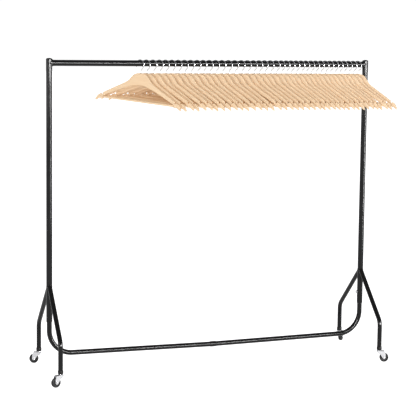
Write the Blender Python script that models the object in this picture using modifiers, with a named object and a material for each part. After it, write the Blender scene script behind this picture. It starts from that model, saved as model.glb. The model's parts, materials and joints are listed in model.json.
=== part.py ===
"""Rolling clothes rack with wooden hangers: two uprights, a top rail, a base rail in two halves, four splayed
legs on swivel casters, and eight of the hangers that hang on the rail. Metres, +Z up, floor at Z = 0."""

import math

import bmesh
import bpy
from mathutils import Matrix, Vector

MM = 0.001
GAP = 0.3 * MM

# Where the rack's own centre stands, so that the box round everything is centred on the origin
SHIFT = Vector((-0.04614, -0.00772, 0.0))

# Frame
HALF_LENGTH = 0.900
RAIL_HEIGHT = 1.634
RAIL_RADIUS = 16.0 * MM
RAIL_WALL = 1.5 * MM
UPRIGHT_RADIUS = 16.0 * MM
UPRIGHT_WALL = 2.0 * MM
UPRIGHT_TOP = 1.652
UPRIGHT_FOOT = 0.281
CAP_RADIUS = 17.0 * MM
CAP_RISE = 7.0 * MM
COLLAR_LENGTH = 30.0 * MM
COLLAR_FLARE = 2.0 * MM

# Base rail, in two halves that slide up into the uprights
BASE_RADIUS = 13.5 * MM
BASE_WALL = 1.5 * MM
BASE_HEIGHT = 0.110
BASE_SAG = 8.5 * MM
BASE_BEND = 0.125
BASE_STUB_TOP = 0.430
SLEEVE_LENGTH = 30.0 * MM
SLEEVE_RADIUS = 15.2 * MM
SPIGOT_HALF = 60.0 * MM
JOINT_GAP = 2.0 * MM

# Legs, each a bent tube welded to the front or back of an upright
LEG_RADIUS = 12.5 * MM
LEG_WALL = 1.5 * MM
LEG_TOP = 0.4779
LEG_BEND = 0.2237
LEG_FOOT = 70.9 * MM
HALF_DEPTH = 0.2577
LEG_BEND_RADIUS = 0.065

# Lock bolts
BOLT_HEIGHT = 0.344
BOLT_SHANK = 4.0 * MM
BOLT_HEAD = 9.0 * MM
BOLT_HEAD_LENGTH = 8.0 * MM

# Casters
WHEEL_RADIUS = 25.0 * MM
WHEEL_WIDTH = 17.0 * MM
WHEEL_SIDES = 24
TRAIL = 27.0 * MM
FORK_TOP = 60.7 * MM
FORK_PLATE = 2.0 * MM
FORK_INNER = 20.0 * MM
AXLE_RADIUS = 3.0 * MM
CASTER_TURN = {"left_front": 197.0, "left_back": 160.0, "right_front": -20.0, "right_back": 43.0}

# Hangers
MODELLED = (0, 7, 12, 17, 22, 27, 32, 39)
FIRST_X = -0.407
FIRST_PITCH = 38.9 * MM
PITCH_LOSS = 0.1572 * MM
WAVE = 13.0 * MM
WAVE_SPAN = 45
WAVE_PERIOD = 21
HOOK_HEADING = 35.0
WOOD_TWIST = 20.0
HANGER_TILT = 6.5
HOOK_WIRE = 2.0 * MM
RING_RADIUS = 26.0 * MM
SHANK_OFFSET = 11.0 * MM
NECK_DROP = 43.5 * MM
SHANK_DEPTH = 30.0 * MM
HOOK_OPEN_END = 212.0
WOOD_THICK = 12.0 * MM
BAR_RADIUS = 5.6 * MM
BAR_DROP = 0.149
BAR_HALF = 0.1960

# One side of the wood's outline from the top of the neck out to the tip and back under to the middle,
# as (distance from the middle, height under the neck) in millimetres
SHOULDER = (
    (17, -1.5),
    (32, -7.5),
    (45, -18),
    (55, -31),
    (64, -43),
    (76, -53),
    (92, -62),
    (150, -96),
    (204, -127.5),
    (206.5, -133.5),
    (211, -132),
    (219, -136),
    (229, -146),
    (237, -159),
    (240, -169),
    (237, -172),
    (231, -169),
    (221, -161),
    (210, -157.5),
    (199, -158.5),
    (196.3, -156),
    (196.3, -142),
    (186, -137.5),
    (150, -118.5),
    (108, -98),
    (68, -80),
    (34, -67),
)

COLOURS = {
    "black_powder_coat": ((0.014, 0.014, 0.015), 0.0, 0.34),
    "bright_zinc": ((0.72, 0.72, 0.73), 1.0, 0.24),
    "black_nylon": ((0.022, 0.022, 0.023), 0.0, 0.50),
    "black_tread": ((0.030, 0.030, 0.031), 0.0, 0.62),
    "pale_wood": ((0.74, 0.52, 0.30), 0.0, 0.42),
    "chrome_wire": ((0.82, 0.82, 0.83), 1.0, 0.12),
}


def clear_scene():
    for item in list(bpy.data.objects):
        bpy.data.objects.remove(item, do_unlink=True)


def make_collections():
    parts = bpy.data.collections.new("rolling_clothes_rack")
    cutters = bpy.data.collections.new("cutters")
    bpy.context.scene.collection.children.link(parts)
    bpy.context.scene.collection.children.link(cutters)
    return parts, cutters


def make_materials():
    made = {}
    for name, (colour, metallic, roughness) in COLOURS.items():
        material = bpy.data.materials.new(name)
        material.use_nodes = True
        shader = material.node_tree.nodes["Principled BSDF"]
        shader.inputs["Base Color"].default_value = (*colour, 1.0)
        shader.inputs["Metallic"].default_value = metallic
        shader.inputs["Roughness"].default_value = roughness
        material.diffuse_color = (*colour, 1.0)
        made[name] = material
    return made


def add_object(name, data, material=None, collection=None):
    item = bpy.data.objects.new(name, data)
    (collection or PARTS).objects.link(item)
    if material:
        data.materials.clear()
        data.materials.append(MATERIALS[material])
    return item


def smooth(mesh, angle=35.0):
    mesh.polygons.foreach_set("use_smooth", [True] * len(mesh.polygons))
    mesh.set_sharp_from_angle(angle=math.radians(angle))


def cylinder_mesh(name, radius, low, high, sides, capped=True):
    """A cylinder along Z from low to high."""
    mesh = bpy.data.meshes.new(name)
    work = bmesh.new()
    bmesh.ops.create_cone(
        work,
        cap_ends=capped,
        cap_tris=False,
        segments=sides,
        radius1=radius,
        radius2=radius,
        depth=high - low,
        matrix=Matrix.Translation((0, 0, (low + high) / 2)),
    )
    work.to_mesh(mesh)
    work.free()
    return mesh


def turned(name, profile, material, sides=24, turn=0.0):
    """A solid of revolution about Z. The profile is (radius, height) from the axis, down its outer side, to the axis
    or back to its own start."""
    closed = profile[0] == profile[-1]
    points = profile[:-1] if closed else profile
    mesh = bpy.data.meshes.new(name)
    edges = [(i, i + 1) for i in range(len(points) - 1)]
    if closed:
        edges.append((len(points) - 1, 0))
    mesh.from_pydata([(r, 0.0, z) for r, z in points], edges, [])
    item = add_object(name, mesh, material)
    screw = item.modifiers.new("revolve", "SCREW")
    screw.axis = "Z"
    screw.steps = sides
    screw.render_steps = sides
    screw.use_merge_vertices = True
    screw.merge_threshold = 0.00001
    screw.use_smooth_shade = False
    screw.use_normal_calculate = False
    return bake(item, turn)


def bake(item, turn=0.0):
    """Turns an object's modifiers into plain mesh, with its faces outward."""
    bpy.context.view_layer.update()
    graph = bpy.context.evaluated_depsgraph_get()
    mesh = bpy.data.meshes.new_from_object(item.evaluated_get(graph))
    mesh.name = item.name
    item.modifiers.clear()
    work = bmesh.new()
    work.from_mesh(mesh)
    bmesh.ops.remove_doubles(work, verts=work.verts, dist=0.00001)
    bmesh.ops.recalc_face_normals(work, faces=work.faces)
    if turn:
        bmesh.ops.rotate(work, verts=work.verts, matrix=Matrix.Rotation(math.radians(turn), 3, "Z"))
    work.to_mesh(mesh)
    work.free()
    item.data = mesh
    smooth(mesh)
    return item


def swept(name, points, radius, material, sides=16, capped=True):
    """A round bar along a path of points."""
    curve = bpy.data.curves.new(name, "CURVE")
    curve.dimensions = "3D"
    curve.twist_mode = "MINIMUM"
    spline = curve.splines.new("POLY")
    spline.points.add(len(points) - 1)
    for point, place in zip(spline.points, points):
        point.co = (*place, 1.0)
    curve.bevel_depth = radius
    curve.bevel_resolution = (sides - 4) // 2
    curve.use_fill_caps = capped
    draft = add_object(name + "_path", curve)
    bpy.context.view_layer.update()
    graph = bpy.context.evaluated_depsgraph_get()
    mesh = bpy.data.meshes.new_from_object(draft.evaluated_get(graph))
    bpy.data.objects.remove(draft, do_unlink=True)
    mesh.name = name
    work = bmesh.new()
    work.from_mesh(mesh)
    bmesh.ops.remove_doubles(work, verts=work.verts, dist=0.00001)
    bmesh.ops.recalc_face_normals(work, faces=work.faces)
    work.to_mesh(mesh)
    work.free()
    item = add_object(name, mesh, material)
    smooth(mesh)
    return item


def hollow(item, wall):
    """Gives an open tube its wall, grown inward."""
    solidify = item.modifiers.new("wall", "SOLIDIFY")
    solidify.thickness = wall
    solidify.offset = -1.0
    solidify.use_even_offset = True
    solidify.use_rim = True
    return bake(item)


def cut(item, cutter):
    """Takes the cutter's shape out of the item."""
    for group in list(cutter.users_collection):
        group.objects.unlink(cutter)
    CUTTERS.objects.link(cutter)
    cutter.hide_render = True
    cutter.display_type = "WIRE"
    boolean = item.modifiers.new("cut_" + cutter.name, "BOOLEAN")
    boolean.operation = "DIFFERENCE"
    boolean.solver = "EXACT"
    boolean.object = cutter


def cutter_rod(name, radius, start, end, sides=24):
    """A round cutter between two places in the item's own frame."""
    start, end = Vector(start), Vector(end)
    mesh = cylinder_mesh(name, radius, 0.0, (end - start).length, sides)
    rod = add_object(name, mesh)
    rod.matrix_world = Matrix.Translation(start) @ (end - start).to_track_quat("Z", "Y").to_matrix().to_4x4()
    bpy.context.view_layer.update()
    return rod


def rounded(corners, radius, steps):
    """A path through the corners with each inner corner turned into an arc of the given radius."""
    corners = [Vector(c) for c in corners]
    path = [corners[0]]
    for before, corner, after in zip(corners, corners[1:], corners[2:]):
        back = (before - corner).normalized()
        on = (after - corner).normalized()
        half = back.angle(on) / 2
        reach = radius / math.tan(half)
        centre = corner + (back + on).normalized() * (radius / math.sin(half))
        start, end = corner + back * reach, corner + on * reach
        first, last = start - centre, end - centre
        swing = first.angle(last)
        for step in range(steps + 1):
            share = step / steps
            weight = math.sin(swing)
            spoke = first * (math.sin((1 - share) * swing) / weight) + last * (math.sin(share * swing) / weight)
            path.append(centre + spoke)
    path.append(corners[-1])
    return path


def place(item, offset=(0, 0, 0)):
    item.location = Vector(item.location) + Vector(offset) + SHIFT
    return item


def top_rail():
    end = HALF_LENGTH - COLLAR_LENGTH
    mesh = cylinder_mesh("top_rail", RAIL_RADIUS, -end, end, 24, capped=False)
    rail = add_object("top_rail", mesh, "black_powder_coat")
    mesh.transform(Matrix.Rotation(math.radians(90), 4, "Y"))
    hollow(rail, RAIL_WALL)
    place(rail, (0, 0, RAIL_HEIGHT))


def rail_collar(side, sign):
    """The flared weld between the rail and an upright, hollowed to the upright's round side."""
    name = side + "_rail_collar"
    start = COLLAR_LENGTH - GAP
    flare = (
        (0.0, start),
        (RAIL_RADIUS, start),
        (RAIL_RADIUS, start - 5 * MM),
        (RAIL_RADIUS + 0.25 * COLLAR_FLARE, start - 9 * MM),
        (RAIL_RADIUS + 0.60 * COLLAR_FLARE, start - 12 * MM),
        (RAIL_RADIUS + COLLAR_FLARE, start - 15 * MM),
        (RAIL_RADIUS + COLLAR_FLARE, 9 * MM),
        (0.0, 9 * MM),
    )
    collar = turned(name, flare, "black_powder_coat", 24)
    collar.data.transform(Matrix.Rotation(math.radians(-90 * sign), 4, "Y"))
    cope = cutter_rod(name + "_cope", UPRIGHT_RADIUS + GAP, (0, 0, -0.05), (0, 0, 0.05), 32)
    cut(collar, cope)
    bake(collar)
    place(collar, (sign * HALF_LENGTH, 0, RAIL_HEIGHT))


def upright(side, sign):
    name = side + "_upright"
    mesh = cylinder_mesh(name, UPRIGHT_RADIUS, UPRIGHT_FOOT, UPRIGHT_TOP, 24, capped=False)
    tube = add_object(name, mesh, "black_powder_coat")
    hollow(tube, UPRIGHT_WALL)
    hole = cutter_rod(
        name + "_bolt_hole",
        BOLT_SHANK + 0.4 * MM,
        (0, 0, BOLT_HEIGHT),
        (-sign * 0.05, 0, BOLT_HEIGHT),
        16,
    )
    cut(tube, hole)
    bake(tube)
    place(tube, (sign * HALF_LENGTH, 0, 0))
    seat = UPRIGHT_TOP + GAP
    plug = UPRIGHT_RADIUS - UPRIGHT_WALL - 0.5 * MM
    profile = (
        (0.0, seat + CAP_RISE),
        (0.45 * CAP_RADIUS, seat + 0.93 * CAP_RISE),
        (0.78 * CAP_RADIUS, seat + 0.70 * CAP_RISE),
        (0.95 * CAP_RADIUS, seat + 0.38 * CAP_RISE),
        (CAP_RADIUS, seat + 0.12 * CAP_RISE),
        (CAP_RADIUS, seat),
        (plug, seat),
        (plug, seat - 16 * MM),
        (plug - 1.5 * MM, seat - 18 * MM),
        (0.0, seat - 18 * MM),
    )
    place(turned(side + "_upright_cap", profile, "black_nylon", 24), (sign * HALF_LENGTH, 0, 0))


def lock_bolt(side, sign):
    """A hexagon-headed bolt through the upright's inner wall, its tip just short of the tube inside."""
    tip = BASE_RADIUS + 0.3 * MM
    seat = UPRIGHT_RADIUS + 0.4 * MM
    sides = 24
    profile = (
        (0.0, seat + BOLT_HEAD_LENGTH),
        (BOLT_HEAD - 1.2 * MM, seat + BOLT_HEAD_LENGTH),
        (BOLT_HEAD, seat + BOLT_HEAD_LENGTH - 1.0 * MM),
        (BOLT_HEAD, seat),
        (BOLT_SHANK, seat),
        (BOLT_SHANK, tip),
        (0.0, tip),
    )
    bolt = turned(side + "_lock_bolt", profile, "bright_zinc", sides)
    block = bpy.data.meshes.new("hexagon")
    work = bmesh.new()
    bmesh.ops.create_cone(work, cap_ends=True, segments=6, radius1=0.03, radius2=0.03, depth=0.05)
    work.to_mesh(block)
    work.free()
    ring = add_object(side + "_hexagon", block)
    core = cylinder_mesh("hexagon_core", BOLT_HEAD * 0.985, -0.1, 0.1, 6)
    inner = add_object(side + "_hexagon_core", core)
    cut(ring, inner)
    bake(ring)
    ring.location = (0, 0, seat + 0.02499)
    bpy.context.view_layer.update()
    cut(bolt, ring)
    bake(bolt)
    bolt.data.transform(Matrix.Rotation(math.radians(-90 * sign), 4, "Y"))
    place(bolt, (sign * HALF_LENGTH, 0, BOLT_HEIGHT))


def base_half(side, sign):
    reach = HALF_LENGTH
    lowest = BASE_HEIGHT - BASE_SAG
    start = JOINT_GAP
    corners = (
        (sign * start, 0, lowest),
        (sign * reach, 0, BASE_HEIGHT),
        (sign * reach, 0, BASE_STUB_TOP),
    )
    path = rounded(corners, BASE_BEND, 9)
    tube = swept(side + "_base_rail", path, BASE_RADIUS, "black_powder_coat", 16, capped=False)
    hollow(tube, BASE_WALL)
    place(tube)


def base_joint():
    """The spigot inside the two halves, with a web between their ends and a sleeve over the right half."""
    lowest = BASE_HEIGHT - BASE_SAG
    slope = math.atan2(BASE_SAG, HALF_LENGTH)
    inner = BASE_RADIUS + GAP + 0.1 * MM
    spigot = BASE_RADIUS - BASE_WALL - 1.6 * MM
    web = JOINT_GAP - 0.4 * MM
    profile = (
        (0.0, SPIGOT_HALF),
        (spigot, SPIGOT_HALF),
        (spigot, web),
        (inner, web),
        (inner, SLEEVE_LENGTH),
        (SLEEVE_RADIUS - 0.5 * MM, SLEEVE_LENGTH),
        (SLEEVE_RADIUS, SLEEVE_LENGTH - 0.8 * MM),
        (SLEEVE_RADIUS, -web + 0.8 * MM),
        (SLEEVE_RADIUS - 0.5 * MM, -web),
        (spigot, -web),
        (spigot, -SPIGOT_HALF),
        (0.0, -SPIGOT_HALF),
    )
    joint = turned("base_joint_sleeve", profile, "black_powder_coat", 24)
    joint.data.transform(Matrix.Rotation(math.radians(90) - slope, 4, "Y"))
    place(joint, (0, 0, lowest))


def leg(corner, sx, sy):
    """A bent tube whose slanted end is cut to the upright's side."""
    corners = (
        (0, 0, LEG_TOP),
        (0, sy * HALF_DEPTH, LEG_BEND),
        (0, sy * HALF_DEPTH, LEG_FOOT),
    )
    path = rounded(corners, LEG_BEND_RADIUS, 4)
    tube = swept(corner + "_leg", path, LEG_RADIUS, "black_powder_coat", 14, capped=False)
    hollow(tube, LEG_WALL)
    place(tube, (sx * HALF_LENGTH, 0, 0))
    low, high = tube.location + Vector((0, 0, LEG_BEND)), tube.location + Vector((0, 0, LEG_TOP + 0.1))
    cut(tube, cutter_rod(corner + "_cope", UPRIGHT_RADIUS + GAP, low, high, 48))
    bake(tube)


def leg_socket(corner, sx, sy):
    inner = LEG_RADIUS - LEG_WALL - 0.4 * MM
    outer = LEG_RADIUS + GAP
    bore = 5.6 * MM
    profile = (
        (0.0, 99.5 * MM),
        (inner, 99.5 * MM),
        (inner, 70.5 * MM),
        (outer, 70.5 * MM),
        (outer, 84.0 * MM),
        (outer + 0.9 * MM, 84.0 * MM),
        (outer + 1.5 * MM, 83.0 * MM),
        (outer + 1.5 * MM, 67.5 * MM),
        (outer + 0.4 * MM, 65.3 * MM),
        (outer - 1.8 * MM, 64.5 * MM),
        (bore, 64.5 * MM),
        (bore, 96.5 * MM),
        (0.0, 96.5 * MM),
    )
    place(turned(corner + "_leg_socket", profile, "black_nylon", 16), (sx * HALF_LENGTH, sy * HALF_DEPTH, 0))


def caster(corner, sx, sy):
    place_at = Vector((sx * HALF_LENGTH, sy * HALF_DEPTH, 0)) + SHIFT
    turn = math.radians(CASTER_TURN[corner])
    stem = (
        (0.0, 95.5 * MM),
        (4.5 * MM, 95.5 * MM),
        (5.2 * MM, 94.5 * MM),
        (5.2 * MM, 64.1 * MM),
        (10.4 * MM, 64.1 * MM),
        (11.0 * MM, 63.5 * MM),
        (11.0 * MM, 61.1 * MM),
        (3.0 * MM, 61.1 * MM),
        (3.0 * MM, 58.3 * MM),
        (4.6 * MM, 58.3 * MM),
        (4.6 * MM, 57.3 * MM),
        (3.6 * MM, 56.8 * MM),
        (0.0, 56.8 * MM),
    )
    turned(corner + "_caster_stem", stem, "bright_zinc", 14).location = place_at

    swivel = bpy.data.objects.new(corner + "_swivel_axis", None)
    PARTS.objects.link(swivel)
    swivel.location = place_at
    swivel.rotation_euler = (0, 0, turn)

    fork = fork_object(corner)
    fork.parent = swivel

    axle_profile = (
        (0.0, 14.4 * MM),
        (3.6 * MM, 14.4 * MM),
        (4.8 * MM, 13.4 * MM),
        (4.8 * MM, 12.4 * MM),
        (AXLE_RADIUS, 12.4 * MM),
        (AXLE_RADIUS, -12.4 * MM),
        (4.8 * MM, -12.4 * MM),
        (4.8 * MM, -13.4 * MM),
        (3.6 * MM, -14.4 * MM),
        (0.0, -14.4 * MM),
    )
    axle = turned(corner + "_axle", axle_profile, "bright_zinc", 12)
    axle.data.transform(Matrix.Rotation(math.radians(90), 4, "X"))
    axle.location = (TRAIL, 0, WHEEL_RADIUS)
    axle.parent = swivel

    half = WHEEL_WIDTH / 2
    over = 1.0 / math.cos(math.pi / WHEEL_SIDES)
    bore = AXLE_RADIUS + 0.25 * MM
    tread = WHEEL_RADIUS * over
    wheel_profile = (
        (bore, half + 0.8 * MM),
        (7.0 * MM, half + 0.8 * MM),
        (7.5 * MM, half - 1.5 * MM),
        (tread - 6.0 * MM, half - 1.5 * MM),
        (tread - 4.5 * MM, half),
        (tread - 1.6 * MM, half - 0.3 * MM),
        (tread, half - 2.5 * MM),
        (tread, -half + 2.5 * MM),
        (tread - 1.6 * MM, -half + 0.3 * MM),
        (tread - 4.5 * MM, -half),
        (tread - 6.0 * MM, -half + 1.5 * MM),
        (7.5 * MM, -half + 1.5 * MM),
        (7.0 * MM, -half - 0.8 * MM),
        (bore, -half - 0.8 * MM),
        (bore, half + 0.8 * MM),
    )
    wheel = turned(corner + "_wheel", wheel_profile, "black_tread", WHEEL_SIDES, 180.0 / WHEEL_SIDES)
    wheel.data.transform(Matrix.Rotation(math.radians(90), 4, "X"))
    wheel.location = (TRAIL, 0, WHEEL_RADIUS)
    wheel.parent = swivel


def flat_shape(name, outline, thick, material, bevel=0.0):
    """A flat outline in X and Z with the given thickness along Y."""
    curve = bpy.data.curves.new(name, "CURVE")
    curve.dimensions = "2D"
    curve.fill_mode = "BOTH"
    spline = curve.splines.new("POLY")
    spline.points.add(len(outline) - 1)
    for point, spot in zip(spline.points, outline):
        point.co = (spot[0], spot[1], 0.0, 1.0)
    spline.use_cyclic_u = True
    curve.extrude = thick / 2 - bevel
    curve.bevel_depth = bevel
    curve.bevel_resolution = 0
    curve.offset = -bevel
    draft = add_object(name + "_outline", curve)
    bpy.context.view_layer.update()
    graph = bpy.context.evaluated_depsgraph_get()
    mesh = bpy.data.meshes.new_from_object(draft.evaluated_get(graph))
    bpy.data.objects.remove(draft, do_unlink=True)
    mesh.name = name
    work = bmesh.new()
    work.from_mesh(mesh)
    bmesh.ops.remove_doubles(work, verts=work.verts, dist=0.00001)
    bmesh.ops.recalc_face_normals(work, faces=work.faces)
    work.to_mesh(mesh)
    work.free()
    mesh.transform(Matrix.Rotation(math.radians(90), 4, "X"))
    return add_object(name, mesh, material)


def fork_object(corner):
    """A pressed fork: a top plate on the stem and two cheeks that reach back and down to the axle."""
    outline = [(-12 * MM, FORK_TOP), (-12 * MM, 53 * MM), (-6 * MM, 47 * MM), (8 * MM, 40 * MM)]
    for step in range(7):
        angle = math.radians(205 + 155 * step / 6)
        outline.append((TRAIL + 8 * MM * math.cos(angle), WHEEL_RADIUS + 8 * MM * math.sin(angle)))
    outline += [(35.0 * MM, 41 * MM), (32 * MM, 55 * MM), (28 * MM, FORK_TOP)]
    outer = FORK_INNER + 2 * FORK_PLATE
    fork = flat_shape(corner + "_fork", outline, outer, "bright_zinc")
    slot = bpy.data.meshes.new("fork_slot")
    work = bmesh.new()
    bmesh.ops.create_cube(work, size=1.0)
    work.to_mesh(slot)
    work.free()
    slot.transform(Matrix.Diagonal((0.2, FORK_INNER, 0.1, 1.0)))
    block = add_object(corner + "_fork_slot", slot)
    block.location = (0.0, 0.0, FORK_TOP - FORK_PLATE - 0.05)
    bpy.context.view_layer.update()
    cut(fork, block)
    cut(fork, cutter_rod(corner + "_stem_hole", 3.4 * MM, (0, 0, 0.04), (0, 0, 0.08), 16))
    low = (TRAIL, -0.03, WHEEL_RADIUS)
    high = (TRAIL, 0.03, WHEEL_RADIUS)
    cut(fork, cutter_rod(corner + "_axle_hole", AXLE_RADIUS + 0.3 * MM, low, high, 16))
    bake(fork)
    return fork


def hanger_x(index):
    """The place along the rail of a hanger's shank: the spacing narrows to the right, with a slow wave in it."""
    wave = WAVE * (1 - index / WAVE_SPAN) * math.cos(2 * math.pi * index / WAVE_PERIOD)
    return FIRST_X + FIRST_PITCH * index - PITCH_LOSS * index * index + wave - WAVE


def hook_path():
    """The wire from its end in the wood, up the shank, round the front and over the rail to its open end."""
    foot = -NECK_DROP - SHANK_DEPTH
    meet = -math.acos(SHANK_OFFSET / RING_RADIUS)
    bend = Vector((RING_RADIUS * math.cos(meet), 0, RING_RADIUS * math.sin(meet)))
    first = math.degrees(meet) + 22.0
    path = [Vector((SHANK_OFFSET, 0, foot)), Vector((SHANK_OFFSET, 0, bend.z - 8 * MM))]
    start = path[-1]
    end_angle = math.radians(first)
    end = Vector((RING_RADIUS * math.cos(end_angle), 0, RING_RADIUS * math.sin(end_angle)))
    tangent = Vector((-math.sin(end_angle), 0, math.cos(end_angle)))
    for step in range(1, 4):
        share = step / 4
        low = start + Vector((0, 0, 1)) * 9 * MM * share
        high = end - tangent * 9 * MM * (1 - share)
        path.append(low.lerp(high, share))
    count = 15
    for step in range(count + 1):
        angle = math.radians(first + (HOOK_OPEN_END - first) * step / count)
        path.append(Vector((RING_RADIUS * math.cos(angle), 0, RING_RADIUS * math.sin(angle))))
    return path


def hanger_frame(index, lift):
    heading = Matrix.Rotation(math.radians(HOOK_HEADING - 90), 4, "Z")
    tilt = Matrix.Rotation(math.radians(HANGER_TILT), 4, "Y")
    along = hanger_x(index) - SHANK_OFFSET * math.sin(math.radians(HOOK_HEADING))
    return Matrix.Translation(Vector((along, 0, RAIL_HEIGHT + lift)) + SHIFT) @ heading @ tilt


def ring_lift():
    """How far the ring's centre sits from the rail's axis, so that the wire clears the rail by the gap."""
    need = RAIL_RADIUS + HOOK_WIRE + GAP
    turn = hanger_frame(0, 0.0).to_3x3()
    lift = 0.0
    while lift > -0.02:
        nearest = 1.0
        for step in range(181):
            angle = math.radians(step)
            spot = turn @ Vector((RING_RADIUS * math.cos(angle), 0, RING_RADIUS * math.sin(angle)))
            nearest = min(nearest, math.hypot(spot.y, spot.z + lift))
        if nearest < need:
            return lift + 0.05 * MM
        lift -= 0.05 * MM
    return lift


def hangers():
    lift = ring_lift()
    side = [(x * MM, z * MM) for x, z in SHOULDER]
    outline = [(0.0, 0.0)] + side + [(0.0, -62.0 * MM)] + [(-x, z) for x, z in reversed(side)]
    twist = Matrix.Translation((SHANK_OFFSET, 0, -NECK_DROP)) @ Matrix.Rotation(math.radians(WOOD_TWIST), 4, "Z")

    shoulders = flat_shape("hanger_wood", outline, WOOD_THICK, "pale_wood", 1.2 * MM)
    cut(shoulders, cutter_rod("hook_hole", HOOK_WIRE + 0.6 * MM, (0, 0, -SHANK_DEPTH - 1.5 * MM), (0, 0, 0.01), 8))
    bake(shoulders)
    wood = shoulders.data
    wood.transform(twist)
    bpy.data.objects.remove(shoulders, do_unlink=True)

    bar = cylinder_mesh("hanger_bar", BAR_RADIUS, -BAR_HALF, BAR_HALF, 12)
    bar.transform(Matrix.Rotation(math.radians(90), 4, "Y"))
    bar.transform(twist @ Matrix.Translation((0, 0, -BAR_DROP)))

    wire = swept("hanger_wire", hook_path(), HOOK_WIRE, "chrome_wire", 6)
    hook = wire.data
    bpy.data.objects.remove(wire, do_unlink=True)

    smooth(bar)
    for number, index in enumerate(MODELLED, 1):
        frame = hanger_frame(index, lift)
        for label, mesh, material in (
            ("hook", hook, "chrome_wire"),
            ("shoulders", wood, "pale_wood"),
            ("trouser_bar", bar, "pale_wood"),
        ):
            item = add_object(f"hanger_{number}_{label}", mesh, material)
            item.matrix_world = frame


clear_scene()
PARTS, CUTTERS = make_collections()
MATERIALS = make_materials()

top_rail()
base_joint()
for side, sx in (("left", -1), ("right", 1)):
    upright(side, sx)
    rail_collar(side, sx)
    base_half(side, sx)
    lock_bolt(side, sx)
    for end, sy in (("front", -1), ("back", 1)):
        corner = f"{side}_{end}"
        leg(corner, sx, sy)
        leg_socket(corner, sx, sy)
        caster(corner, sx, sy)
hangers()
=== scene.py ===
"""Rolling clothes rack with wooden hangers: the detailed model and its studio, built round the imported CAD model.

Everything is in metres in the row frame: +X along the top rail, -Y to the front, +Z up, floor at Z = 0.
"""

import json
import logging
import math
from dataclasses import dataclass
from enum import Enum

import bpy
import numpy as np
from mathutils import Matrix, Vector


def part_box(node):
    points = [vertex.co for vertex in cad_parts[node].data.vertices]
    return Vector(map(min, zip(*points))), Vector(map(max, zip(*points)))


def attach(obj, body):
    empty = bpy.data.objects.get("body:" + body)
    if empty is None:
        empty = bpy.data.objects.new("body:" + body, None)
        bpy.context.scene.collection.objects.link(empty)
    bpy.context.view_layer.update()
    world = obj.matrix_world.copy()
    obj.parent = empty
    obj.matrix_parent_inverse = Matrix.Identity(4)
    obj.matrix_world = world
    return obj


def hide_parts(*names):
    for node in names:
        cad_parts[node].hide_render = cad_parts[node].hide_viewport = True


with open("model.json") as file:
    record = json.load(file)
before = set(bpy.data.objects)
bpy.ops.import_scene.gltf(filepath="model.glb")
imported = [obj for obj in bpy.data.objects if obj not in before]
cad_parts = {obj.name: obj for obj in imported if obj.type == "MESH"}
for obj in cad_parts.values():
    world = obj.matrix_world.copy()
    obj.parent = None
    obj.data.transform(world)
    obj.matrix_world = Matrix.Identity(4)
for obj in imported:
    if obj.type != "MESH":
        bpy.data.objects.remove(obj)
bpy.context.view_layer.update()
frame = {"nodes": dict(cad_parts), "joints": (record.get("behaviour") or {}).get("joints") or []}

LOG = logging.getLogger("clothes_rack")
MM = 0.001
SIDES = ("left", "right")
CORNERS = ("left_front", "left_back", "right_front", "right_back")
UP = np.array([0.0, 0.0, 1.0])


# ---------------------------------------------------------------------------------------------- places in the CAD


@dataclass(frozen=True)
class Extent:
    """The box round one CAD node.

    Args:
        low: its lowest corner.
        high: its highest corner.
    """

    low: np.ndarray
    high: np.ndarray

    @classmethod
    def of(cls, node: str) -> "Extent":
        """Returns the box of a CAD node at rest."""
        low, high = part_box(node)
        return cls(np.array(low, float), np.array(high, float))

    @property
    def centre(self) -> np.ndarray:
        """The middle of the box."""
        return (self.low + self.high) / 2

    @property
    def size(self) -> np.ndarray:
        """The box's width, depth and height."""
        return self.high - self.low


# ------------------------------------------------------------------------------------------------------- surfaces


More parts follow.
